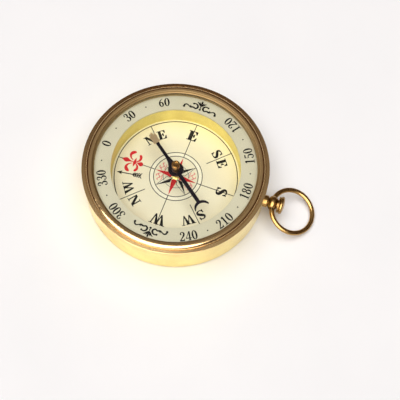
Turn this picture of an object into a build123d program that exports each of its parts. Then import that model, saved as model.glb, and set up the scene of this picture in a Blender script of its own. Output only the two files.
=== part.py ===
from build123d import *
from math import asin, cos, degrees, radians, sin, sqrt
import os

# Open-face brass pocket compass with a pendant and a bow ring.
# Millimetres. +Z up, origin at the centre of the base, pendant towards -Y.
os.makedirs("parts", exist_ok=True)

# ---- driving dimensions -------------------------------------------------------
bezel_r = 25.0            # outer radius of the bezel, the widest round part
case_r = 24.7             # outer radius of the cup wall
wall = 1.7                # cup wall thickness
base_thickness = 1.6      # cup floor thickness
dial_z = 4.0              # printed face of the dial
card_z = 9.9              # printed face of the bearing card
card_bore_r = 17.4        # opening of the bearing card and of its spacer
lip_r = 21.8              # inner edge of the bezel lip
glass_z = 10.6            # underside of the crystal at its rim
glass_thickness = 0.6
glass_rise = 1.5          # height of the crystal's dome over its rim
crest_z = 11.85           # top of the bezel bead

needle_azimuth = 49.6     # direction of the needle's north end at rest, degrees
needle_z = 8.25           # underside of the needle blade
needle_thickness = 0.3

pendant_z = 4.5           # height of the pendant axis
bead_y = 27.3             # distance of the cross-hole from the case axis
bow_r = 6.05              # centre-line radius of the bow wire
bow_wire_r = 0.65
cross_hole_r = 0.9        # hole through the pendant bead, for the bow

paper = 0.4               # thickness of both printed cards
fit = 0.05                # radial gap of parts that drop into each other

# ---- derived sizes ------------------------------------------------------------
wall_in_r = case_r - wall
lip_z = glass_z + glass_thickness
seat_z = 3.0              # land that carries the dial plate
plate_thickness = dial_z - paper - seat_z
inner_r = wall_in_r - 0.1


def section(points):
    """Upright face bounded by (radius, height) points, to be turned about Z."""
    with BuildSketch(Plane.XZ) as profile:
        with BuildLine():
            Polyline(*points, close=True)
        make_face()
    return profile.sketch


def dome_middle(rim_r, rise):
    """Halfway point of a spherical dome's outline: drop below its top, and radius."""
    sphere_r = (rim_r ** 2 + rise ** 2) / (2 * rise)
    half_angle = asin(rim_r / sphere_r) / 2
    return sphere_r * (1 - cos(half_angle)), sphere_r * sin(half_angle)


# ---- case ---------------------------------------------------------------------
# Turned brass cup: flat floor, a raised land for the dial plate, a straight wall
# and a reduced neck that the bezel is pressed over.
neck_r = 24.15
neck_z = 8.2
rim_z = 9.7
edge_break = 0.3
land_in_r = 17.5
land_out_r = 20.4
tenon_r = 1.0             # threaded end of the pendant
collar_r = 1.65
spot_y = case_r - 0.1     # flat spot-faced for the pendant collar

pendant_axis = Axis((0, 0, pendant_z), (0, -1, 0))
pendant_plane = Plane(origin=(0, 0, pendant_z), x_dir=(0, -1, 0), z_dir=(-1, 0, 0))

with BuildPart() as case_body:
    revolve(section([
        (0, 0), (case_r - edge_break, 0), (case_r, edge_break),
        (case_r, neck_z - 0.1), (case_r - 0.1, neck_z), (neck_r, neck_z),
        (neck_r, rim_z), (wall_in_r, rim_z), (wall_in_r, base_thickness),
        (land_out_r, base_thickness), (land_out_r, seat_z),
        (land_in_r, seat_z), (land_in_r, base_thickness), (0, base_thickness),
    ]), axis=Axis.Z)
    side = Plane(origin=(0, 0, pendant_z), x_dir=(1, 0, 0), z_dir=(0, -1, 0))
    with BuildSketch(side.offset(wall_in_r - 1)):
        Circle(tenon_r)
    extrude(amount=wall + 2, mode=Mode.SUBTRACT)
    with BuildSketch(side.offset(spot_y)):
        Circle(collar_r + 0.1)
    extrude(amount=1, mode=Mode.SUBTRACT)

case_body.part.label = "case_body"
export_step(case_body.part, "parts/case_body.step")

# Bezel: skirt over the cup's neck, shoulder, fine groove and a bead that rises
# gently from inside and rolls over its outer edge. A crease parts the bead from the
# thin inner lip that holds the crystal down.
skirt_r = neck_r + fit
crystal_seat_r = 23.4
crease_r = 22.1
bead_brow_r = 22.35       # where the bead's steep inner edge turns into its flat top
bead_brow_z = 11.78
bead_crest_r = 22.9
bead_out_r = 23.85
bead_foot_z = 11.2
roll_drop = crest_z - bead_foot_z
roll_width = bead_out_r - bead_crest_r
roll_r = (roll_width ** 2 + roll_drop ** 2) / (2 * roll_drop)
half_roll = asin(roll_width / roll_r) / 2
groove_z = 11.0
groove_r = 24.0
shoulder_z = 10.98
shoulder_corner = 0.12
corner_45 = shoulder_corner * (1 - 1 / sqrt(2))

with BuildPart() as bezel:
    with BuildSketch(Plane.XZ):
        with BuildLine():
            Polyline(
                (skirt_r, neck_z + fit), (skirt_r, rim_z + fit),
                (crystal_seat_r, rim_z + fit), (crystal_seat_r, lip_z),
                (lip_r, lip_z), (lip_r, lip_z + 0.05), (crease_r - 0.06, lip_z + 0.24),
                (crease_r, lip_z + 0.16), (crease_r + 0.06, lip_z + 0.24),
            )
            Line((crease_r + 0.06, lip_z + 0.24), (crease_r + 0.1, lip_z + 0.42))
            ThreePointArc(
                (crease_r + 0.1, lip_z + 0.42), (crease_r + 0.15, lip_z + 0.53),
                (bead_brow_r, bead_brow_z),
            )
            Spline(
                (bead_brow_r, bead_brow_z), (bead_crest_r, crest_z), tangents=((4, 1), (1, 0))
            )
            ThreePointArc(
                (bead_crest_r, crest_z),
                (bead_crest_r + roll_r * sin(half_roll), crest_z - roll_r * (1 - cos(half_roll))),
                (bead_out_r, bead_foot_z),
            )
            Polyline(
                (bead_out_r, bead_foot_z), (bead_out_r, groove_z), (groove_r, groove_z),
                (groove_r + 0.1, groove_z + 0.1), (bezel_r - shoulder_corner, shoulder_z),
            )
            ThreePointArc(
                (bezel_r - shoulder_corner, shoulder_z), (bezel_r - corner_45, shoulder_z - corner_45),
                (bezel_r, shoulder_z - shoulder_corner),
            )
            Polyline(
                (bezel_r, shoulder_z - shoulder_corner), (bezel_r, neck_z + 0.2),
                (bezel_r - 0.15, neck_z + fit), (skirt_r, neck_z + fit),
            )
        make_face()
    revolve(axis=Axis.Z)

bezel.part.label = "bezel"
export_step(bezel.part, "parts/bezel.step")

# ---- dial stack ---------------------------------------------------------------
# Brass plate that carries the pivot post, and the printed dial laid on it.
stack_r = land_out_r - 0.2
post_r = 1.0

with BuildPart() as dial_plate:
    with BuildSketch(Plane.XY.offset(seat_z)):
        Circle(stack_r)
        Circle(post_r, mode=Mode.SUBTRACT)
    extrude(amount=plate_thickness)

dial_plate.part.label = "dial_plate"
export_step(dial_plate.part, "parts/dial_plate.step")

with BuildPart() as dial_card:
    with BuildSketch(Plane.XY.offset(dial_z - paper)):
        Circle(stack_r)
        Circle(post_r, mode=Mode.SUBTRACT)
    extrude(amount=paper)

dial_card.part.label = "dial_card"
export_step(dial_card.part, "parts/dial_card.step")

# Turned ring that stands on the dial and carries the bearing card.
tube_out_r = card_bore_r + 1.0
flange_z = card_z - paper
flange_thickness = 0.8

with BuildPart() as spacer_ring:
    revolve(section([
        (card_bore_r, dial_z), (tube_out_r, dial_z),
        (tube_out_r, flange_z - flange_thickness),
        (inner_r, flange_z - flange_thickness), (inner_r, flange_z),
        (card_bore_r, flange_z),
    ]), axis=Axis.Z)

spacer_ring.part.label = "spacer_ring"
export_step(spacer_ring.part, "parts/spacer_ring.step")

with BuildPart() as bearing_card:
    with BuildSketch(Plane.XY.offset(flange_z)):
        Circle(inner_r)
        Circle(card_bore_r, mode=Mode.SUBTRACT)
    extrude(amount=paper)

bearing_card.part.label = "bearing_card"
export_step(bearing_card.part, "parts/bearing_card.step")

# ---- crystal ------------------------------------------------------------------
crystal_r = crystal_seat_r - 0.1
gasket_in_r = lip_r - 0.05
dome_foot_r = lip_r - 0.3   # where the flat rim of the crystal turns into its dome

with BuildPart() as crystal_gasket:
    with BuildSketch(Plane.XY.offset(card_z)):
        Circle(inner_r)
        Circle(gasket_in_r, mode=Mode.SUBTRACT)
    extrude(amount=glass_z - card_z)

crystal_gasket.part.label = "crystal_gasket"
export_step(crystal_gasket.part, "parts/crystal_gasket.step")

glass_drop, glass_mid_r = dome_middle(dome_foot_r, glass_rise)
dome_top_z = glass_z + glass_thickness + glass_rise

with BuildPart() as crystal:
    with BuildSketch(Plane.XZ):
        with BuildLine():
            ThreePointArc(
                (0, glass_z + glass_rise), (glass_mid_r, glass_z + glass_rise - glass_drop),
                (dome_foot_r, glass_z),
            )
            Polyline(
                (dome_foot_r, glass_z), (crystal_r - 0.1, glass_z), (crystal_r, glass_z + 0.1),
                (crystal_r, lip_z - 0.1), (crystal_r - 0.1, lip_z), (dome_foot_r, lip_z),
            )
            ThreePointArc(
                (dome_foot_r, lip_z), (glass_mid_r, dome_top_z - glass_drop), (0, dome_top_z)
            )
            Line((0, dome_top_z), (0, glass_z + glass_rise))
        make_face()
    revolve(axis=Axis.Z)

crystal.part.label = "crystal"
export_step(crystal.part, "parts/crystal.step")

# ---- pivot --------------------------------------------------------------------
# Post riveted through the dial and its plate, with a hard steel point in it.
post_top_z = 7.6
post_top_r = 0.5
pin_r = 0.25
pin_foot_z = 5.2
pin_cone_z = 10.35
pin_tip_z = 11.1
pin_tip_r = 0.03

with BuildPart() as pivot_post:
    revolve(section([
        (0, seat_z - 0.5), (1.5, seat_z - 0.5), (1.8, seat_z - 0.3), (1.8, seat_z),
        (post_r, seat_z), (post_r, dial_z + 0.1), (post_r - 0.1, dial_z + 0.2),
        (0.7, dial_z + 0.3), (post_top_r, post_top_z), (pin_r, post_top_z),
        (pin_r, pin_foot_z), (0, pin_foot_z),
    ]), axis=Axis.Z)

pivot_post.part.label = "pivot_post"
export_step(pivot_post.part, "parts/pivot_post.step")

with BuildPart() as pivot_pin:
    revolve(section([
        (0, pin_foot_z), (pin_r, pin_foot_z), (pin_r, pin_cone_z),
        (pin_tip_r, pin_tip_z), (0, pin_tip_z),
    ]), axis=Axis.Z)

pivot_pin.part.label = "pivot_pin"
export_step(pivot_pin.part, "parts/pivot_pin.step")

# ---- needle -------------------------------------------------------------------
# Flat steel blade: round hub, tapered north arm, south arm ending in a crescent.
hub_r = 2.1
cap_tail_r = 0.85
north_w = 0.85            # width of the slim part of the north arm
south_w = 1.0
north_root_w = 1.9
root_x = 1.3
taper_x = 4.4
north_end_x = 10.4
crescent_x = 11.0         # back of the crescent
crescent_thickness = 0.75
horn_tip_w = 0.28
horn_x = 12.85
horn_y = 2.15

needle_dir = (cos(radians(needle_azimuth)), sin(radians(needle_azimuth)), 0)


def needle_plane(z):
    """Plane at height z whose X axis points along the needle's north arm."""
    return Plane(origin=(0, 0, z), x_dir=needle_dir, z_dir=(0, 0, 1))


with BuildPart() as needle_blade:
    with BuildSketch(needle_plane(needle_z)):
        Circle(hub_r)
        with BuildLine():
            Polyline(
                (root_x, north_root_w / 2), (taper_x, north_w / 2),
                (north_end_x, north_w / 2), (north_end_x, -north_w / 2),
                (taper_x, -north_w / 2), (root_x, -north_root_w / 2), close=True,
            )
        make_face()
        with BuildLine():
            Polyline(
                (-root_x, south_w / 2), (-crescent_x - 0.2, south_w / 2),
                (-crescent_x - 0.2, -south_w / 2), (-root_x, -south_w / 2), close=True,
            )
        make_face()
        with BuildLine():
            ThreePointArc((-horn_x, horn_y), (-crescent_x, 0), (-horn_x, -horn_y))
            ThreePointArc(
                (-horn_x, -horn_y), (-horn_x - 0.15, -horn_y + 0.1),
                (-horn_x - 0.05, -horn_y + horn_tip_w),
            )
            ThreePointArc(
                (-horn_x - 0.05, -horn_y + horn_tip_w), (-crescent_x - crescent_thickness, 0),
                (-horn_x - 0.05, horn_y - horn_tip_w),
            )
            ThreePointArc(
                (-horn_x - 0.05, horn_y - horn_tip_w), (-horn_x - 0.15, horn_y - 0.1),
                (-horn_x, horn_y),
            )
        make_face()
        Circle(cap_tail_r, mode=Mode.SUBTRACT)
    extrude(amount=needle_thickness)

needle_blade.part.label = "needle_blade"
export_step(needle_blade.part, "parts/needle_blade.step")

# Brass north tip, lapped over the end of the blade: waisted body and three prongs.
tip_start_x = 9.4
tip_body_x = 11.4
tip_end_x = 12.9
tip_w = 2.0
tip_waist_w = 1.7
tip_thickness = 0.2
half_tip = [
    (tip_start_x, tip_w / 2), ((tip_start_x + tip_body_x) / 2, tip_waist_w / 2),
    (tip_body_x, tip_w / 2), (tip_end_x - 0.45, 0.8), (tip_body_x + 0.45, 0.35),
    (tip_end_x - 0.3, 0.3), (tip_end_x, 0),
]

with BuildPart() as needle_tip:
    with BuildSketch(needle_plane(needle_z + needle_thickness)):
        with BuildLine():
            Polyline(*half_tip, *[(x, -y) for x, y in reversed(half_tip[:-1])], close=True)
        make_face()
    extrude(amount=tip_thickness)

needle_tip.part.label = "needle_tip"
export_step(needle_tip.part, "parts/needle_tip.step")

# Brass cap riveted in the hub, with a jewel that rides on the steel point.
cap_r = 1.12
cap_bore_r = 0.62
cap_top_z = 11.75
cap_corner = 0.12         # chamfer of the cap's top edge
dimple_r = 0.7            # turned dimple in the cap's top
dimple_depth = 0.12
jewel_z = 10.65
jewel_top_z = 11.3
cone_top_z = 11.14
blade_top_z = needle_z + needle_thickness

dimple_drop, dimple_mid_r = dome_middle(dimple_r, dimple_depth)

with BuildPart() as needle_cap:
    with BuildSketch(Plane.XZ):
        with BuildLine():
            Polyline(
                (0, cap_top_z - dimple_depth), (0, jewel_top_z), (cap_bore_r, jewel_top_z),
                (cap_bore_r, needle_z - 0.15), (cap_tail_r, needle_z - 0.15),
                (cap_tail_r, blade_top_z), (cap_r, blade_top_z), (cap_r, cap_top_z - cap_corner),
                (cap_r - cap_corner, cap_top_z), (dimple_r, cap_top_z),
            )
            ThreePointArc(
                (dimple_r, cap_top_z), (dimple_mid_r, cap_top_z - dimple_depth + dimple_drop),
                (0, cap_top_z - dimple_depth),
            )
        make_face()
    revolve(axis=Axis.Z)

needle_cap.part.label = "needle_cap"
export_step(needle_cap.part, "parts/needle_cap.step")

with BuildPart() as cap_jewel:
    revolve(section([
        (0, cone_top_z), (0.45, jewel_z), (cap_bore_r, jewel_z),
        (cap_bore_r, jewel_top_z), (0, jewel_top_z),
    ]), axis=Axis.Z)

cap_jewel.part.label = "cap_jewel"
export_step(cap_jewel.part, "parts/cap_jewel.step")

# ---- pendant and bow ----------------------------------------------------------
# One turned piece: tenon, collar, bead with the cross-hole, neck and end button.
nut_face_y = sqrt((wall_in_r - 0.02) ** 2 - 1.75 ** 2)
nut_thickness = 1.1
tenon_end_y = nut_face_y - nut_thickness - 0.3
collar_end_y = 26.0
bead_half = 1.15
bead_r = 2.0
bead_edge_r = 1.3
neck_r_out = 1.25
neck_end_y = 28.75
ring_r = 2.2              # small ring turned on the inner side of the button
button_y = 29.2           # groove between that ring and the button
button_groove_r = 2.0
button_r = 2.4
button_end_y = 30.5
button_dome = 0.3
button_flat_r = button_r - 0.45
button_drop, button_mid_r = dome_middle(button_flat_r, button_dome)

with BuildPart() as pendant:
    with BuildSketch(pendant_plane):
        with BuildLine():
            Polyline(
                (tenon_end_y, 0), (tenon_end_y, tenon_r - 0.15), (tenon_end_y + 0.15, tenon_r),
                (spot_y, tenon_r), (spot_y, collar_r), (collar_end_y - 0.35, collar_r),
            )
            ThreePointArc(
                (collar_end_y - 0.35, collar_r), (collar_end_y - 0.08, collar_r - 0.12),
                (collar_end_y, collar_r - 0.4),
            )
            Line((collar_end_y, collar_r - 0.4), (bead_y - bead_half, bead_edge_r))
            ThreePointArc(
                (bead_y - bead_half, bead_edge_r), (bead_y, bead_r), (bead_y + bead_half, bead_edge_r)
            )
            Polyline(
                (bead_y + bead_half, bead_edge_r), (bead_y + bead_half + 0.1, neck_r_out),
                (neck_end_y, neck_r_out), (neck_end_y, button_flat_r),
            )
            ThreePointArc(
                (neck_end_y, button_flat_r), ((neck_end_y + button_y) / 2, ring_r),
                (button_y, button_groove_r),
            )
            ThreePointArc(
                (button_y, button_groove_r), (button_y + 0.5, button_r),
                (button_end_y - button_dome, button_flat_r),
            )
            ThreePointArc(
                (button_end_y - button_dome, button_flat_r),
                (button_end_y - button_drop, button_mid_r), (button_end_y, 0),
            )
            Line((button_end_y, 0), (tenon_end_y, 0))
        make_face()
    revolve(axis=pendant_axis)
    with BuildSketch(Plane(origin=(-3, -bead_y, pendant_z), x_dir=(0, 1, 0), z_dir=(1, 0, 0))):
        Circle(cross_hole_r)
    extrude(amount=6, mode=Mode.SUBTRACT)

pendant.part.label = "pendant"
export_step(pendant.part, "parts/pendant.step")

# Thin hexagonal nut that holds the pendant from inside the wall.
with BuildPart() as pendant_nut:
    with BuildSketch(side.offset(nut_face_y)):
        RegularPolygon(1.75, 6)
        Circle(tenon_r, mode=Mode.SUBTRACT)
    extrude(amount=-nut_thickness)

pendant_nut.part.label = "pendant_nut"
export_step(pendant_nut.part, "parts/pendant_nut.step")

# Bow: round wire bent to a ring, with a fine butt joint. It hangs in the
# cross-hole and lies with its outer end on the surface under the base. The arc of
# wire inside the bead is centred on the hole, so the ring's centre is a little
# nearer than one ring radius.
wire_sagitta = bow_r - sqrt(bow_r ** 2 - bead_r ** 2)
bow_reach = bow_r - wire_sagitta / 2
ground_gap = 0.01
droop = asin((pendant_z - bow_wire_r - ground_gap) / (bow_reach + bow_r))
joint_gap = 0.6           # width of the butt joint, degrees of the ring
joint_angle = 122.0       # place of the butt joint, from the outer end

out_dir = Vector(0, -cos(droop), -sin(droop))
bow_normal = Vector(0, -sin(droop), cos(droop))
bow_centre = Vector(0, -bead_y, pendant_z) + out_dir * bow_reach
start_dir = out_dir.rotate(Axis((0, 0, 0), tuple(bow_normal)), joint_angle + joint_gap / 2)
wire_plane = Plane(
    origin=bow_centre + start_dir * bow_r, x_dir=start_dir, z_dir=bow_normal.cross(start_dir)
)

with BuildPart() as bow_ring:
    with BuildSketch(wire_plane):
        Circle(bow_wire_r)
    revolve(axis=Axis(tuple(bow_centre), tuple(bow_normal)), revolution_arc=360 - joint_gap)

bow_ring.part.label = "bow_ring"
export_step(bow_ring.part, "parts/bow_ring.step")

print("bow droop, degrees:", round(degrees(droop), 3))
print("bow hinge: y", -bead_y, "z", pendant_z)
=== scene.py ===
from math import cos, degrees, hypot, pi, radians, sin

import bmesh
import bpy
from mathutils import Matrix, Vector
from mathutils.geometry import delaunay_2d_cdt


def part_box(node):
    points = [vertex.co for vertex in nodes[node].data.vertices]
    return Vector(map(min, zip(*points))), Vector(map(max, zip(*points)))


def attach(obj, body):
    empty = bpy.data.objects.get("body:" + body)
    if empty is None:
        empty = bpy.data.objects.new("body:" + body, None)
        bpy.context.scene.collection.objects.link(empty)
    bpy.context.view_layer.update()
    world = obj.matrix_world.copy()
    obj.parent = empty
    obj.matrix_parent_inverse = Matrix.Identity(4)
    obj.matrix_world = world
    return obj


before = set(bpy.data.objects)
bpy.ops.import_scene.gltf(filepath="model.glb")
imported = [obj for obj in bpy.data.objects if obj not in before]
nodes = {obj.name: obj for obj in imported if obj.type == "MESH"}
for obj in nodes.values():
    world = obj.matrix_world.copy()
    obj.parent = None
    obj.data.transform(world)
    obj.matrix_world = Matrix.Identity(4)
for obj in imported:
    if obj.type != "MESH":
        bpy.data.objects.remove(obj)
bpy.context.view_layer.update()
scene = bpy.context.scene

MM = 0.001                        # every drawing below is in millimetres

# ---- places read from the frame, in millimetres -------------------------------------------------


def top_of(node):
    return (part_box(node)[1] / MM).z


dial_z = top_of("dial_card")
card_z = top_of("bearing_card")

NORTH = radians(86.7)             # azimuth of the dial's north mark
CLOCKWISE = -1                    # bearings grow clockwise as seen from above


def azimuth(bearing):
    """Azimuth in radians of a compass bearing in degrees."""
    return NORTH + CLOCKWISE * radians(bearing)


# ---- flat drawing: every shape is a list of small polygons in millimetres -----------------------


def box(x0, y0, x1, y1):
    return [(x0, y0), (x1, y0), (x1, y1), (x0, y1)]


def smooth(points, steps=7):
    """Catmull-Rom curve through points, which are tuples of any length."""
    ends = [points[0]] + list(points) + [points[-1]]
    out = []
    for p0, p1, p2, p3 in zip(ends, ends[1:], ends[2:], ends[3:]):
        for k in range(steps):
            t = k / steps
            out.append(tuple(
                0.5 * (2 * b + (c - a) * t + (2 * a - 5 * b + 4 * c - d) * t * t
                       + (3 * b - a - 3 * c + d) * t ** 3)
                for a, b, c, d in zip(p0, p1, p2, p3)
            ))
    return out + [tuple(points[-1])]


def ribbon(path):
    """Strip of triangles along a path of (x, y, width) points."""
    sides = []
    for i, (x, y, w) in enumerate(path):
        x0, y0, _ = path[max(i - 1, 0)]
        x1, y1, _ = path[min(i + 1, len(path) - 1)]
        length = hypot(x1 - x0, y1 - y0) or 1.0
        nx, ny = -(y1 - y0) / length * w / 2, (x1 - x0) / length * w / 2
        sides.append(((x + nx, y + ny), (x - nx, y - ny)))
    pieces = []
    for (a0, a1), (b0, b1) in zip(sides, sides[1:]):
        pieces += [[a1, a0, b0], [a1, b0, b1]]
    return pieces


def pen(points):
    """Ribbon along the smooth curve through (x, y, width) points."""
    return ribbon(smooth(points))


def line(x0, y0, x1, y1, width):
    return ribbon([(x0, y0, width), (x1, y1, width)])


def dot(x, y, r, steps=14):
    return [[(x + r * cos(2 * pi * k / steps), y + r * sin(2 * pi * k / steps)) for k in range(steps)]]


def loop(x, y, rx, ry, thin, thick, steps=28):
    """Closed oval whose stroke swells at its sides."""
    path = []
    for k in range(steps + 1):
        a = 2 * pi * k / steps
        path.append((x + rx * cos(a), y + ry * sin(a), thin + (thick - thin) * abs(cos(a)) ** 1.5))
    return ribbon(path)


def circle(r, width, steps=180):
    return ribbon([
        (r * cos(2 * pi * k / steps), r * sin(2 * pi * k / steps), width) for k in range(steps + 1)
    ])


def mirrored(shapes):
    """The shapes and their mirror image across x = 0."""
    return shapes + [[(-x, y) for x, y in reversed(s)] for s in shapes]


def placed(shapes, bearing, r, size=1.0, inward=False):
    """Shapes drawn about the origin with +Y outward (or inward) moved to a bearing and radius."""
    a = azimuth(bearing)
    turn = a + pi / 2 if inward else a - pi / 2
    cx, cy = r * cos(a), r * sin(a)
    return [
        [(cx + size * (x * cos(turn) - y * sin(turn)), cy + size * (x * sin(turn) + y * cos(turn)))
         for x, y in s]
        for s in shapes
    ]


# ---- glyphs: cap height 1, baseline y = 0; each is (width, shapes) ------------------------------


def glyph_n():
    return 0.96, [
        box(0.14, 0, 0.21, 1), box(0.02, 0, 0.33, 0.05), box(0, 0.95, 0.21, 1),
        [(0.06, 1), (0.66, 0), (0.86, 0), (0.31, 1)],
        box(0.79, 0, 0.86, 1), box(0.67, 0.95, 0.98, 1),
    ]


def glyph_e():
    return 0.80, [
        box(0.11, 0, 0.35, 1), box(0, 0.95, 0.4, 1), box(0, 0, 0.4, 0.05),
        box(0.3, 0.94, 0.76, 1), [(0.76, 1), (0.58, 0.95), (0.72, 0.68), (0.76, 0.68)],
        box(0.3, 0.48, 0.56, 0.54),
        [(0.58, 0.34), (0.58, 0.68), (0.54, 0.68), (0.44, 0.51), (0.54, 0.34)],
        box(0.3, 0, 0.78, 0.06), [(0.78, 0), (0.81, 0.36), (0.77, 0.36), (0.6, 0.05)],
    ]


def glyph_s():
    return 0.70, pen([
        (0.60, 0.74, 0.05), (0.54, 0.90, 0.07), (0.36, 0.97, 0.08), (0.17, 0.88, 0.13),
        (0.13, 0.71, 0.18), (0.26, 0.58, 0.23), (0.43, 0.46, 0.24), (0.58, 0.32, 0.22),
        (0.59, 0.15, 0.16), (0.48, 0.05, 0.10), (0.32, 0.03, 0.07), (0.15, 0.11, 0.07),
        (0.08, 0.27, 0.05),
    ]) + [box(0.585, 0.68, 0.635, 1), box(0.045, 0, 0.095, 0.34)]


def glyph_w():
    return 1.28, [
        [(0.05, 1), (0.42, 0), (0.48, 0), (0.31, 1)], [(0.42, 0), (0.48, 0), (0.72, 1), (0.66, 1)],
        [(0.54, 1), (0.90, 0), (0.96, 0), (0.80, 1)], [(0.90, 0), (0.96, 0), (1.20, 1), (1.14, 1)],
        box(-0.03, 0.95, 0.39, 1), box(0.46, 0.95, 0.88, 1), box(1.03, 0.95, 1.30, 1),
    ]


def glyph_0():
    return 0.60, loop(0.3, 0.5, 0.2, 0.465, 0.07, 0.19)


def glyph_1():
    return 0.54, [
        box(0.20, 0, 0.37, 1), box(0.07, 0, 0.50, 0.05), [(0.06, 0.80), (0.20, 0.84), (0.20, 1)],
    ]


def glyph_2():
    return 0.60, pen([
        (0.11, 0.74, 0.10), (0.14, 0.89, 0.09), (0.29, 0.96, 0.08), (0.44, 0.88, 0.15),
        (0.47, 0.72, 0.18), (0.39, 0.52, 0.15), (0.23, 0.28, 0.10), (0.08, 0.06, 0.07),
    ]) + dot(0.15, 0.75, 0.08) + [
        box(0.04, 0, 0.52, 0.13), [(0.52, 0), (0.57, 0.28), (0.52, 0.28), (0.44, 0.1)],
    ]


def glyph_3():
    return 0.60, pen([
        (0.11, 0.78, 0.07), (0.16, 0.92, 0.08), (0.30, 0.97, 0.08), (0.43, 0.88, 0.15),
        (0.43, 0.70, 0.16), (0.35, 0.57, 0.09), (0.21, 0.53, 0.06),
    ]) + pen([
        (0.21, 0.53, 0.06), (0.38, 0.50, 0.10), (0.49, 0.35, 0.18), (0.47, 0.17, 0.17),
        (0.38, 0.06, 0.11), (0.25, 0.03, 0.08), (0.12, 0.09, 0.08), (0.08, 0.20, 0.08),
    ]) + dot(0.14, 0.79, 0.07) + dot(0.12, 0.19, 0.08)


def glyph_4():
    return 0.62, [
        [(0.02, 0.29), (0.09, 0.29), (0.45, 1), (0.37, 1)], box(0.02, 0.23, 0.60, 0.31),
        box(0.34, 0, 0.50, 1), box(0.23, 0, 0.60, 0.05),
    ]


def glyph_5():
    return 0.60, [[(0.14, 0.87), (0.47, 0.87), (0.52, 1), (0.14, 1)], box(0.12, 0.52, 0.17, 1)] + pen([
        (0.14, 0.54, 0.05), (0.28, 0.61, 0.08), (0.43, 0.53, 0.14), (0.49, 0.33, 0.19),
        (0.42, 0.12, 0.14), (0.28, 0.03, 0.08), (0.13, 0.09, 0.08), (0.08, 0.20, 0.08),
    ]) + dot(0.12, 0.19, 0.08)


def glyph_6():
    return 0.60, pen([
        (0.52, 0.96, 0.05), (0.36, 0.88, 0.08), (0.20, 0.68, 0.14), (0.13, 0.42, 0.18),
        (0.17, 0.16, 0.14), (0.30, 0.035, 0.08), (0.43, 0.13, 0.14), (0.47, 0.31, 0.18),
        (0.41, 0.49, 0.13), (0.30, 0.555, 0.08), (0.17, 0.45, 0.06),
    ])


def glyph_8():
    return 0.60, loop(0.3, 0.755, 0.15, 0.215, 0.07, 0.15) + loop(0.3, 0.27, 0.19, 0.24, 0.07, 0.18)


GLYPHS = {
    "N": glyph_n, "E": glyph_e, "S": glyph_s, "W": glyph_w, "0": glyph_0, "1": glyph_1,
    "2": glyph_2, "3": glyph_3, "4": glyph_4, "5": glyph_5, "6": glyph_6, "8": glyph_8,
}


def glyph(char):
    """Shapes of a character, centred on the origin."""
    width, shapes = GLYPHS[char]()
    return [[(x - width / 2, y - 0.5) for x, y in s] for s in shapes]


# ---- from drawings to closed meshes -------------------------------------------------------------


def area(shape):
    return sum(x0 * y1 - x1 * y0 for (x0, y0), (x1, y1) in zip(shape, shape[1:] + shape[:1])) / 2


def merged(shapes):
    """Union of overlapping shapes, as flat vertices and triangles."""
    points, faces = [], []
    for s in shapes:
        if abs(area(s)) < 1e-6:
            continue
        if area(s) < 0:
            s = s[::-1]
        faces.append(list(range(len(points), len(points) + len(s))))
        points += [Vector(p) for p in s]
    out = delaunay_2d_cdt(points, [], faces, 1, 1e-5, True)
    return out[0], [f for f, source in zip(out[2], out[5]) if source]


def add_mesh(name, bm, material, body):
    """Mesh object in the frame's metres that rides on a body."""
    bm.normal_update()
    mesh = bpy.data.meshes.new(name)
    bm.to_mesh(mesh)
    bm.free()
    mesh.transform(Matrix.Scale(MM, 4))
    mesh.materials.append(material)
    piece = bpy.data.objects.new(name, mesh)
    scene.collection.objects.link(piece)
    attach(piece, body)


INK_GAP = 0.002                   # from a card's face to the underside of its ink


def print_ink(name, shapes, z, material, thickness):
    """Closed film of ink on a card whose face is at height z, up to thickness above it."""
    flat, faces = merged(shapes)
    bm = bmesh.new()
    top = [bm.verts.new((p.x, p.y, z + thickness)) for p in flat]
    under = [bm.verts.new((p.x, p.y, z + INK_GAP)) for p in flat]
    edges = {}
    for f in faces:
        bm.faces.new([top[i] for i in f])
        bm.faces.new([under[i] for i in reversed(f)])
        for i, j in zip(f, f[1:] + f[:1]):
            edges[(i, j)] = edges.get((i, j), 0) + 1
    for i, j in edges:
        if (j, i) not in edges:
            bm.faces.new([top[j], top[i], under[i], under[j]])
    bmesh.ops.delete(bm, geom=[v for v in bm.verts if not v.link_faces], context="VERTS")
    add_mesh(name, bm, material, "case")


# ---- materials ----------------------------------------------------------------------------------


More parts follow.
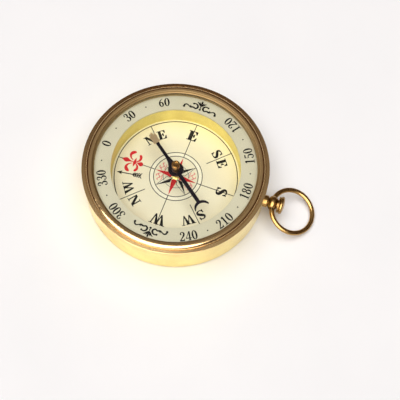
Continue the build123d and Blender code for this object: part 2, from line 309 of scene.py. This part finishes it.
class Nodes:
    """One material's node tree, with short ways to add nodes to it."""

    def __init__(self, name):
        self.material = bpy.data.materials.new(name)
        self.material.use_nodes = True
        self.tree = self.material.node_tree
        self.shader = self.tree.nodes["Principled BSDF"]
        self.output = self.tree.nodes["Material Output"]

    def add(self, kind, settings=None, **inputs):
        node = self.tree.nodes.new("ShaderNode" + kind)
        for key, value in (settings or {}).items():
            setattr(node, key, value)
        for key, value in inputs.items():
            self.set(node, key.replace("_", " "), value)
        return node

    def set(self, node, socket, value):
        target = node.inputs[int(socket)] if socket.isdigit() else node.inputs[socket]
        if isinstance(value, bpy.types.NodeSocket):
            self.tree.links.new(value, target)
        else:
            target.default_value = value

    def math(self, operation, a, b=0.0):
        node = self.add("Math", {"operation": operation})
        self.set(node, "0", a)
        self.set(node, "1", b)
        return node.outputs[0]

    def position(self):
        """Object coordinates, their z, and the distance from the compass axis, in metres."""
        coordinates = self.add("TexCoord").outputs["Object"]
        split = self.add("SeparateXYZ", Vector=coordinates)
        x, y, z = split.outputs
        r = self.math("SQRT", self.math("ADD", self.math("MULTIPLY", x, x), self.math("MULTIPLY", y, y)))
        return coordinates, z, r

    def noise(self, vector, scale, detail, rough):
        node = self.add("TexNoise", Vector=vector, Scale=scale, Detail=detail, Roughness=rough)
        return node.outputs["Fac"]

    def range(self, value, low_in, high_in, low_out, high_out):
        node = self.add("MapRange")
        for key, number in zip(("1", "2", "3", "4"), (low_in, high_in, low_out, high_out)):
            self.set(node, key, number)
        self.set(node, "0", value)
        return node.outputs[0]

    def blend(self, factor, a, b):
        """Colour a where factor is 0 and b where it is 1."""
        node = self.add("Mix", {"data_type": "RGBA"})
        self.set(node, "0", factor)
        self.set(node, "6", a)
        self.set(node, "7", b)
        return node.outputs[2]

    def bump(self, height, strength, distance):
        node = self.add("Bump", Strength=strength, Distance=distance, Height=height)
        self.set(self.shader, "Normal", node.outputs["Normal"])


def rgb(r, g, b):
    """Linear colour of an sRGB one given from 0 to 255."""
    def linear(c):
        c /= 255
        return c / 12.92 if c <= 0.04045 else ((c + 0.055) / 1.055) ** 2.4
    return linear(r), linear(g), linear(b), 1.0


# painted shade: the brown that the bezel lip's inner slope shows
LIP_SHADE_COLOUR = rgb(150, 124, 84)
DULL_ROUGH = 0.45                 # added roughness
DULL_SHADE_FADE = 0.08                  # width over which the rough, painted-shade part ends, in millimetres


def brass(name, bright, tarnish, rough, marks_along="r", marks=1.0, patina=None, patina_z=(0, 1),
          dull_shade_r=0.0):
    """Polished brass with fine turning marks, a slow tarnish and small scratches.

    With patina, a colour, the metal turns to it between the two heights patina_z. Inside
    the radius given last, it is rougher and painted shade turns it brown.
    """
    n = Nodes(name)
    coordinates, z, r = n.position()
    along = r if marks_along == "r" else z
    lathe = n.add("CombineXYZ", X=n.math("MULTIPLY", along, 5200.0), Y=n.math("MULTIPLY", z, 900.0))
    marks_noise = n.noise(lathe.outputs[0], scale=1.0, detail=2.0, rough=0.6)
    cloud = n.noise(coordinates, scale=130.0, detail=4.0, rough=0.6)
    specks = n.noise(coordinates, scale=1500.0, detail=2.0, rough=0.7)
    stain = n.math("MULTIPLY", n.range(cloud, 0.38, 0.72, 0.0, 1.0), 0.55)
    colour = n.blend(stain, bright, tarnish)
    if patina:
        aged = n.blend(stain, patina, [c * 0.6 for c in patina[:3]] + [1.0])
        colour = n.blend(n.range(z, patina_z[0] * MM, patina_z[1] * MM, 0.0, 1.0), colour, aged)
    colour = n.blend(n.range(specks, 0.66, 0.80, 0.0, 0.35), colour, tarnish)
    wear = n.math("ADD", n.range(cloud, 0.3, 0.7, 0.0, 0.10), n.range(marks_noise, 0.3, 0.7, 0.0, 0.06))
    roughness = n.math("ADD", wear, rough)
    # rougher inside that radius, where painted shade turns the colour brown
    if dull_shade_r:
        dull_shade = n.range(r, (dull_shade_r - DULL_SHADE_FADE) * MM, dull_shade_r * MM, 1.0, 0.0)
        colour = n.blend(dull_shade, colour, LIP_SHADE_COLOUR)
        roughness = n.math("ADD", roughness, n.math("MULTIPLY", dull_shade, DULL_ROUGH))
    n.set(n.shader, "Base Color", colour)
    n.set(n.shader, "Metallic", 1.0)
    n.set(n.shader, "Roughness", roughness)
    n.bump(n.math("ADD", marks_noise, n.math("MULTIPLY", specks, 0.3)), 0.12 * marks, 0.00002)
    return n.material


def paper(name, colour, aged, rough=0.62):
    """Printed card: even coat with faint fibres, random yellowing, and painted shade that makes it
    yellower towards the edge.
    """
    n = Nodes(name)
    coordinates, _, r = n.position()
    fibres = n.noise(coordinates, scale=4200.0, detail=3.0, rough=0.6)
    cloud = n.noise(coordinates, scale=110.0, detail=3.0, rough=0.5)
    # random yellowing from the cloud, plus painted shade growing from 4 mm out to 18 mm from the axis
    age_and_edge_shade = n.math("ADD", n.range(r, 0.004, 0.018, 0.0, 0.35), n.range(cloud, 0.35, 0.7, 0.0, 0.5))
    colour = n.blend(age_and_edge_shade, colour, aged)
    n.set(n.shader, "Base Color", colour)
    n.set(n.shader, "Roughness", n.range(fibres, 0.2, 0.8, rough - 0.06, rough + 0.08))
    n.bump(fibres, 0.15, 0.00001)
    return n.material


def ink(name, colour, worn, rough=0.5):
    """Printing ink, a little uneven in cover."""
    n = Nodes(name)
    coordinates, *_ = n.position()
    cover = n.noise(coordinates, scale=2600.0, detail=3.0, rough=0.65)
    n.set(n.shader, "Base Color", n.blend(n.range(cover, 0.45, 0.8, 0.0, 0.5), colour, worn))
    n.set(n.shader, "Roughness", n.range(cover, 0.3, 0.7, rough - 0.08, rough + 0.1))
    n.set(n.shader, "Specular IOR Level", 0.2)
    return n.material


def steel(name, colour, sheen, rough):
    """Steel with a grain along the strip and uneven bluing."""
    n = Nodes(name)
    coordinates, *_ = n.position()
    grain = n.noise(coordinates, scale=2400.0, detail=4.0, rough=0.7)
    cloud = n.noise(coordinates, scale=350.0, detail=2.0, rough=0.5)
    n.set(n.shader, "Base Color", n.blend(n.range(cloud, 0.35, 0.7, 0.0, 1.0), colour, sheen))
    n.set(n.shader, "Metallic", 1.0)
    n.set(n.shader, "Roughness", n.range(grain, 0.3, 0.7, rough - 0.06, rough + 0.1))
    n.bump(grain, 0.15, 0.00001)
    return n.material


def rubber(name, colour, dusty):
    n = Nodes(name)
    coordinates, *_ = n.position()
    dust = n.noise(coordinates, scale=900.0, detail=4.0, rough=0.6)
    n.set(n.shader, "Base Color", n.blend(n.range(dust, 0.4, 0.8, 0.0, 0.6), colour, dusty))
    n.set(n.shader, "Roughness", n.range(dust, 0.3, 0.7, 0.6, 0.8))
    n.bump(dust, 0.2, 0.00002)
    return n.material


def jewel(name):
    n = Nodes(name)
    coordinates, *_ = n.position()
    cloud = n.noise(coordinates, scale=1800.0, detail=2.0, rough=0.5)
    n.set(n.shader, "Base Color", n.blend(cloud, rgb(150, 20, 40), rgb(90, 8, 24)))
    n.set(n.shader, "Roughness", n.range(cloud, 0.3, 0.7, 0.05, 0.12))
    return n.material


GLASS_FACE_ON = 0.012             # share of the light that is mirrored, seen face on
GLASS_EDGE_ON = 0.6               # and seen edge on


def clear_glass(name):
    """Thin pane: shows what is behind it unbent and mirrors most where it is seen edge on."""
    n = Nodes(name)
    coordinates, *_ = n.position()
    smear = n.noise(coordinates, scale=160.0, detail=4.0, rough=0.6)
    n.tree.nodes.remove(n.shader)
    through = n.add("BsdfTransparent", Color=(0.985, 0.99, 0.98, 1))
    gloss = n.add("BsdfGlossy", Color=(1, 1, 1, 1), Roughness=n.range(smear, 0.4, 0.8, 0.02, 0.10))
    edge_on = n.math("POWER", n.add("LayerWeight", Blend=0.5).outputs["Facing"], 5.0)
    pane = n.add("MixShader")
    n.set(pane, "0", n.range(edge_on, 0.0, 1.0, GLASS_FACE_ON, GLASS_EDGE_ON))
    n.set(pane, "1", through.outputs[0])
    n.set(pane, "2", gloss.outputs[0])
    n.set(n.output, "Surface", pane.outputs[0])
    return n.material


BEZEL_AGED_Z = (10.5, 10.95)      # the bezel is browner above these heights than below
BEZEL_LIP_SHADE_R = 22.42            # and rougher inside this radius, up to the brow of its bead, where painted shade browns it

bezel_brass = brass("bezel_brass", rgb(250, 230, 156), rgb(220, 184, 104), rough=0.12,
                    patina=rgb(222, 188, 134), patina_z=BEZEL_AGED_Z, dull_shade_r=BEZEL_LIP_SHADE_R)
case_brass = brass("case_brass", rgb(250, 232, 160), rgb(220, 184, 104), rough=0.14, marks_along="z")
inner_brass = brass("inner_brass", rgb(236, 224, 148), rgb(214, 194, 114), rough=0.48)
fitting_brass = brass("fitting_brass", rgb(186, 150, 92), rgb(112, 80, 38), rough=0.17,
                      marks_along="z", marks=0.5)
tip_brass = brass("tip_brass", rgb(232, 206, 164), rgb(176, 144, 100), rough=0.34,
                  marks_along="z", marks=0.5)
cap_brass = brass("cap_brass", rgb(170, 124, 66), rgb(96, 72, 30), rough=0.22,
                  marks_along="z", marks=0.5)
dial_paper = paper("dial_paper", rgb(239, 233, 206), rgb(232, 221, 188))
bearing_paper = paper("bearing_paper", rgb(218, 213, 189), rgb(208, 202, 173), rough=0.5)
black_ink = ink("black_ink", rgb(12, 11, 10), rgb(34, 30, 24))
red_ink = ink("red_ink", rgb(206, 24, 32), rgb(220, 62, 62))
pink_ink = ink("pink_ink", rgb(226, 120, 118), rgb(236, 160, 148))
white_ink = ink("white_ink", rgb(246, 241, 218), rgb(242, 235, 206))
grey_ink = ink("grey_ink", rgb(84, 88, 74), rgb(120, 120, 100))
blued_steel = steel("blued_steel", rgb(34, 30, 42), rgb(48, 42, 54), rough=0.34)
pin_steel = steel("pin_steel", rgb(190, 190, 190), rgb(170, 172, 176), rough=0.22)
# the gasket's tan colour is painted shade: it stands in for the shaded band under the bezel's lip
gasket_shade_tan = rubber("gasket_shade_tan", rgb(176, 148, 92), rgb(140, 114, 66))
jewel_red = jewel("jewel_red")
crystal_glass = clear_glass("crystal_glass")

NODE_MATERIALS = {
    "case_body": case_brass, "bezel": bezel_brass, "spacer_ring": inner_brass,
    "dial_plate": inner_brass, "pivot_post": inner_brass, "pendant_nut": inner_brass,
    "pendant": fitting_brass, "bow_ring": fitting_brass, "dial_card": dial_paper,
    "bearing_card": bearing_paper, "crystal_gasket": gasket_shade_tan, "crystal": crystal_glass,
    "pivot_pin": pin_steel, "needle_blade": blued_steel, "needle_tip": tip_brass,
    "needle_cap": cap_brass, "cap_jewel": jewel_red,
}
for node, material in NODE_MATERIALS.items():
    mesh = nodes[node].data
    mesh.materials.clear()
    mesh.materials.append(material)

# ---- print on the dial --------------------------------------------------------------------------
DIAL_CIRCLE_R = 16.8
DIAL_CIRCLE_W = 0.24
HAIR = 0.2                        # width of the fine printed lines
HALF_LINE_R = 9.2                 # where the lines between the cardinals start
FLEUR_R = 13.0
FLEUR_FOOT_R = 9.8                # the north line is broken between these two
FLEUR_TOP_R = 15.4
ROSE_OUT_R = 7.2
ROSE_IN_R = 6.07
ROSE_GREY_R = 3.45                # fine grey circle
ROSE_GREY_W = 0.13
ROSE_HEART_R = 0.95               # white disc around the pivot
OUTLINE_W = 0.12
# points of the rose: how far tip, waist and notch are from the pivot, and half the width
RED_TIP, RED_WAIST, RED_NOTCH, RED_HALF_W = 5.9, 1.3, 0.9, 0.78
PALE_TIP, PALE_WAIST, PALE_NOTCH, PALE_HALF_W = ROSE_IN_R - 0.05, 2.2, 1.1, 0.92
LETTER_R = 13.2
W_R = 13.5                        # the W stands a little further out
LETTER_H = 3.0                    # cap height of the cardinal letters
PAIR_H = 2.65                     # and of the letters in pairs
LETTER_WIDE = 1.08
BOLD_X, BOLD_Y = 0.02, 0.01       # strokes thicken by twice these shares of the cap height
PAIR_GAP = 0.5                    # clear space between a letter of a pair and its bearing line
CARDINALS = (0, 90, 180, 270)
BETWEEN = (45, 135, 225, 315)


def dial_lines():
    shapes = circle(DIAL_CIRCLE_R, DIAL_CIRCLE_W) + circle(ROSE_OUT_R, HAIR) + circle(ROSE_IN_R, HAIR)
    for bearing in (90, 180, 270):
        shapes += placed(line(0, 0, 0, DIAL_CIRCLE_R - ROSE_IN_R, HAIR), bearing, ROSE_IN_R)
    for bearing in BETWEEN:
        shapes += placed(line(0, 0, 0, DIAL_CIRCLE_R - HALF_LINE_R, HAIR), bearing, HALF_LINE_R)
    shapes += placed(line(0, ROSE_IN_R, 0, FLEUR_FOOT_R, HAIR), 0, 0)
    shapes += placed(line(0, FLEUR_TOP_R, 0, DIAL_CIRCLE_R, HAIR), 0, 0)
    return shapes


def bold_glyph(char):
    """The character a little wider, with thicker strokes: four copies, each a small step away."""
    shapes = []
    for dx, dy in ((-BOLD_X, -BOLD_Y), (BOLD_X, BOLD_Y), (-BOLD_X, BOLD_Y), (BOLD_X, -BOLD_Y)):
        shapes += [[(x * LETTER_WIDE + dx, y + dy) for x, y in s] for s in glyph(char)]
    return shapes


def dial_letters():
    shapes = []
    for char, bearing, r in (("E", 90, LETTER_R), ("S", 180, LETTER_R), ("W", 270, W_R)):
        shapes += placed(bold_glyph(char), bearing, r, LETTER_H)
    for pair, bearing in zip(("NE", "SE", "SW", "NW"), BETWEEN):
        for char, side in zip(pair, (-1, 1)):
            width, _ = GLYPHS[char]()
            offset = width * LETTER_WIDE * PAIR_H / 2 + PAIR_GAP
            letter_bearing = bearing + side * degrees(offset / LETTER_R)
            shapes += placed(bold_glyph(char), letter_bearing, LETTER_R, PAIR_H)
    return shapes


def dial_point(east, north):
    """Point of the dial given by its distances east and north of the pivot."""
    to_east, to_north = azimuth(90), azimuth(0)
    return Vector((
        east * cos(to_east) + north * cos(to_north), east * sin(to_east) + north * sin(to_north)
    ))


def along(shapes, start, end):
    """Shapes drawn up from the origin, moved to start and turned towards end."""
    up = (end - start).normalized()
    return [
        [(start.x + x * up.y + y * up.x, start.y - x * up.x + y * up.y) for x, y in s] for s in shapes
    ]


def declination_arrow():
    """Arrow west of north, with a barbed head and a fletched tail."""
    tail, tip = dial_point(-3.2, 8.7), dial_point(-4.3, 15.6)
    length = (tip - tail).length
    shapes = [[(0, length), (-0.56, length - 1.5), (0, length - 1.25)],
              [(0, length), (0, length - 1.25), (0.56, length - 1.5)]]
    shapes += line(0, 0.2, 0, length - 1.2, 0.28) + line(0, 1.6, 0, 2.6, 0.45)
    for k in range(4):
        y, reach = 0.35 + 0.6 * k, 0.78 - 0.09 * k
        shapes += mirrored(pen([(0, y + 0.35, 0.3), (0.4, y + 0.05, 0.28), (reach, y - 0.35, 0.2)]))
    return along(shapes, tail, tip)


def fleur():
    """Fleur-de-lis pointing outward, drawn about its middle."""
    petal = [(0, 2.95, 0.1), (0, 2.4, 0.5), (0, 1.65, 1.3), (0, 1.15, 1.2), (0, 0.45, 0.55),
             (0, -0.3, 0.24), (0, -0.8, 0.3)]
    drop = [(0, -1.0, 0.25), (0, -1.75, 0.3), (0, -2.35, 1.05), (0, -2.8, 1.3), (0, -3.15, 1.0),
            (0, -3.4, 0.3)]
    side = [(0.5, -0.35, 0.18), (0.95, 0.4, 0.38), (1.75, 0.82, 0.66), (2.45, 0.62, 0.92),
            (2.85, 0.1, 0.84), (2.98, -0.4, 0.4)]
    root = [(0.28, -1.35, 0.2), (0.8, -1.98, 0.5), (1.55, -2.2, 0.68), (2.2, -1.95, 0.74),
            (2.5, -1.6, 0.4)]
    band = [(-1.35, -0.95, 0.08), (-0.75, -0.95, 0.5), (0, -0.95, 0.8), (0.75, -0.95, 0.5),
            (1.35, -0.95, 0.08)]
    return pen(petal) + pen(drop) + pen(band) + mirrored(pen(side) + pen(root))


def red_point():
    """Cardinal point of the rose, drawn outward from the pivot."""
    tip, notch = (0, RED_TIP), (0, RED_NOTCH)
    return [[tip, (-RED_HALF_W, RED_WAIST), notch], [tip, notch, (RED_HALF_W, RED_WAIST)]]


def half_point(side):
    """One half of a point between the cardinals: side is -1 before its bearing, +1 after."""
    return [[(0, PALE_TIP), (side * PALE_HALF_W, PALE_WAIST), (0, PALE_NOTCH)]]


def point_outline():
    """Thin edge of the white half of such a point."""
    return (line(0, PALE_TIP, PALE_HALF_W, PALE_WAIST, OUTLINE_W)
            + line(PALE_HALF_W, PALE_WAIST, 0, PALE_NOTCH, OUTLINE_W))


def rose_flourish():
    """Curled lines on both sides of a cardinal point."""
    wave = [(0.45, 4.2, 0.14), (0.95, 4.75, 0.3), (1.35, 4.35, 0.2), (1.7, 4.0, 0.3), (2.1, 4.4, 0.2),
            (2.5, 4.6, 0.26), (2.75, 4.2, 0.14)]
    tendril = [(0.95, 4.75, 0.14), (1.25, 5.15, 0.26), (1.7, 5.05, 0.14)]
    underline = [(0.6, 3.4, 0.12), (1.2, 3.6, 0.26), (1.9, 3.4, 0.2), (2.5, 3.6, 0.14)]
    return mirrored(pen(wave) + pen(tendril) + pen(underline))


def around(shapes, bearings):
    """The same shapes, drawn outward from the pivot, at several bearings."""
    out = []
    for bearing in bearings:
        out += placed(shapes, bearing, 0)
    return out


DIAL_FILMS = (                    # each a little thicker, so that it lies over those before it
    ("rose_white", white_ink, 0.008, circle((ROSE_IN_R + ROSE_OUT_R) / 2, ROSE_OUT_R - ROSE_IN_R)
     + around(half_point(1), BETWEEN) + dot(0, 0, ROSE_HEART_R, 40)),
    ("rose_grey", grey_ink, 0.012, circle(ROSE_GREY_R, ROSE_GREY_W)),
    ("rose_pink", pink_ink, 0.014, around(rose_flourish(), (0, 180))),
    ("dial_red", red_ink, 0.018, placed(fleur(), 0, FLEUR_R) + around(red_point(), CARDINALS)),
    ("dial_black", black_ink, 0.022, dial_lines() + dial_letters() + declination_arrow()
     + around(half_point(-1) + point_outline(), BETWEEN)),
)
for name, material, thickness, shapes in DIAL_FILMS:
    print_ink(name, shapes, dial_z, material, thickness)

# ---- print on the bearing card ------------------------------------------------------------------
CARD_INK = 0.02                   # thickness of this print
NUMERAL_R = 19.9
NUMERAL_H = 2.55
DIGIT_STEP = 4.6                  # degrees from one digit to the next
DOT_SIZE = 0.2                    # radius of the dots between the numerals
SCROLL_R = 19.75
SCROLL_SIZE = 1.04


def numeral(text, bearing, inward):
    """Digits of a bearing, centred on it."""
    shapes = []
    for k, char in enumerate(text):
        offset = (k - (len(text) - 1) / 2) * DIGIT_STEP * (-1 if inward else 1)
        shapes += placed(glyph(char), bearing + offset, NUMERAL_R, NUMERAL_H, inward)
    return shapes


def scroll():
    """Generic scroll ornament with +Y outward: two wavy arms, two curls and a bud."""
    arm = [(4.3, -1.5, 0.4), (4.2, -1.0, 0.42), (3.7, -0.7, 0.34), (3.1, -0.95, 0.3),
           (2.5, -1.15, 0.5), (1.85, -1.0, 0.4), (1.25, -1.2, 0.42), (0.75, -0.8, 0.5),
           (0.85, -0.15, 0.48), (1.4, 0.2, 0.36), (1.95, 0.1, 0.3)]
    thorn = [(2.4, -1.2, 0.4), (2.75, -0.6, 0.1)]
    leaf = [(0.15, -0.2, 0.12), (0.5, 0.35, 0.42), (0.95, 0.75, 0.3), (1.3, 0.85, 0.1)]
    blade = [(0.1, -0.1, 0.1), (0.3, 0.5, 0.26), (0.6, 1.0, 0.1)]
    half = pen(arm) + dot(4.28, -1.5, 0.32) + dot(2.02, 0.06, 0.27)
    half += ribbon(thorn) + pen(leaf) + pen(blade)
    bud = pen([(0, -0.5, 0.14), (0, 0.3, 0.2), (0, 0.8, 0.46), (0, 1.2, 0.44), (0, 1.42, 0.16)])
    return mirrored(half) + bud + dot(0, -1.15, 0.3) + dot(0, -0.6, 0.2)


def card_shapes():
    shapes = []
    for bearing in (300, 330, 0, 30, 60):
        shapes += numeral(str(bearing), bearing, False)
    for bearing in (120, 150, 180, 210, 240):
        shapes += numeral(str(bearing), bearing, True)
    for bearing in (315, 345, 15, 45, 135, 165, 195, 225):
        shapes += placed(dot(0, 0, DOT_SIZE), bearing, NUMERAL_R)
    for bearing in (90, 270):
        shapes += placed(scroll(), bearing, SCROLL_R, SCROLL_SIZE)
    return shapes


print_ink("card_black", card_shapes(), card_z, black_ink, CARD_INK)

# ---- floor, light and camera --------------------------------------------------------------------


def floor_material():
    n = Nodes("floor")
    coordinates, *_ = n.position()
    cloud = n.noise(coordinates, scale=30.0, detail=3.0, rough=0.5)
    n.set(n.shader, "Base Color", n.blend(cloud, rgb(247, 247, 248), rgb(240, 241, 243)))
    n.set(n.shader, "Roughness", n.range(cloud, 0.3, 0.7, 0.7, 0.85))
    return n.material


FLOOR_HALF = 3.0
FLOOR_THICKNESS = 0.01
FLOOR_GAP = 0.00001               # keeps the floor from touching the case's underside


def add_floor():
    mesh = bpy.data.meshes.new("floor")
    bm = bmesh.new()
    bmesh.ops.create_cube(bm, size=1.0)
    bmesh.ops.scale(bm, vec=(2 * FLOOR_HALF, 2 * FLOOR_HALF, FLOOR_THICKNESS), verts=bm.verts)
    bmesh.ops.translate(bm, vec=(0, 0, -FLOOR_THICKNESS / 2 - FLOOR_GAP), verts=bm.verts)
    bm.to_mesh(mesh)
    bm.free()
    mesh.materials.append(floor_material())
    floor = bpy.data.objects.new("floor", mesh)
    scene.collection.objects.link(floor)


CAMERA_DISTANCE = 0.24697
CAMERA_ELEVATION = radians(66.79)
CAMERA_AZIMUTH = radians(-166.60)
CAMERA_AIM = Vector((-0.0031, -0.0079, 0.0))
CAMERA_ROLL = radians(3.60)
CAMERA_LENS = 81.0                # in millimetres, on the sensor's width
CAMERA_SENSOR = 36.0


def add_camera():
    camera = bpy.data.cameras.new("camera")
    camera.lens = CAMERA_LENS
    camera.sensor_width = CAMERA_SENSOR
    camera.clip_start = 0.005
    holder = bpy.data.objects.new("camera", camera)
    flat = CAMERA_DISTANCE * cos(CAMERA_ELEVATION)
    away = Vector((
        flat * cos(CAMERA_AZIMUTH), flat * sin(CAMERA_AZIMUTH), CAMERA_DISTANCE * sin(CAMERA_ELEVATION)
    ))
    holder.location = CAMERA_AIM + away
    look = (-away).to_track_quat("-Z", "Y").to_matrix() @ Matrix.Rotation(CAMERA_ROLL, 3, "Z")
    holder.rotation_euler = look.to_euler()
    scene.collection.objects.link(holder)
    scene.camera = holder


PICTURE_RIGHT = -72.7             # azimuth of the picture's right-hand side, in degrees


def view_direction(azimuth_deg, elevation_deg):
    """Unit vector for an azimuth seen in the main view: 0 is right, 90 is up the picture."""
    a = radians(azimuth_deg + PICTURE_RIGHT)
    e = radians(elevation_deg)
    return Vector((cos(e) * cos(a), cos(e) * sin(a), sin(e)))


def add_light(name, azimuth_deg, elevation_deg, distance, size, power, mirrored=True, lights_paper=True):
    """Round soft light aimed at the origin, seen in shiny metal, on plain surfaces or on both."""
    lamp = bpy.data.lights.new(name, "AREA")
    lamp.shape = "DISK"
    lamp.size = size
    lamp.energy = power
    holder = bpy.data.objects.new(name, lamp)
    direction = view_direction(azimuth_deg, elevation_deg)
    holder.location = direction * distance
    holder.rotation_euler = (-direction).to_track_quat("-Z", "Y").to_euler()
    holder.visible_glossy = mirrored
    holder.visible_diffuse = lights_paper
    scene.collection.objects.link(holder)


ROOM_LOW = (0.075, 0.03, 0.008, 1)
ROOM_OVERHEAD = (0.36, 0.33, 0.31, 1)
ROOM_LOW_UNTIL = 0.60             # heights on the unit sphere between which one turns into the other
ROOM_OVERHEAD_FROM = 0.95


def add_world():
    """Dim warm room that brightens overhead."""
    world = bpy.data.worlds.new("room")
    scene.world = world
    world.use_nodes = True
    tree = world.node_tree
    background = tree.nodes["Background"]

    def node(kind, **settings):
        made = tree.nodes.new("ShaderNode" + kind)
        for key, value in settings.items():
            setattr(made, key, value)
        return made

    direction = node("TexCoord").outputs["Generated"]
    height = node("SeparateXYZ")
    tree.links.new(direction, height.inputs[0])
    overhead = node("MapRange", interpolation_type="SMOOTHSTEP")
    tree.links.new(height.outputs["Z"], overhead.inputs[0])
    overhead.inputs[1].default_value = ROOM_LOW_UNTIL
    overhead.inputs[2].default_value = ROOM_OVERHEAD_FROM
    room = node("Mix", data_type="RGBA")
    tree.links.new(overhead.outputs[0], room.inputs[0])
    room.inputs[6].default_value = ROOM_LOW
    room.inputs[7].default_value = ROOM_OVERHEAD
    tree.links.new(room.outputs[2], background.inputs["Color"])


add_floor()
add_camera()
add_world()
# the window only shines in metal and glass; the ceiling only lights floor, paper and other dull things
add_light("window", azimuth_deg=240, elevation_deg=47, distance=0.9, size=1.4, power=26.0,
          lights_paper=False)
add_light("ceiling", azimuth_deg=90, elevation_deg=88, distance=1.0, size=1.6, power=13.6,
          mirrored=False)
scene.view_settings.view_transform = "Standard"
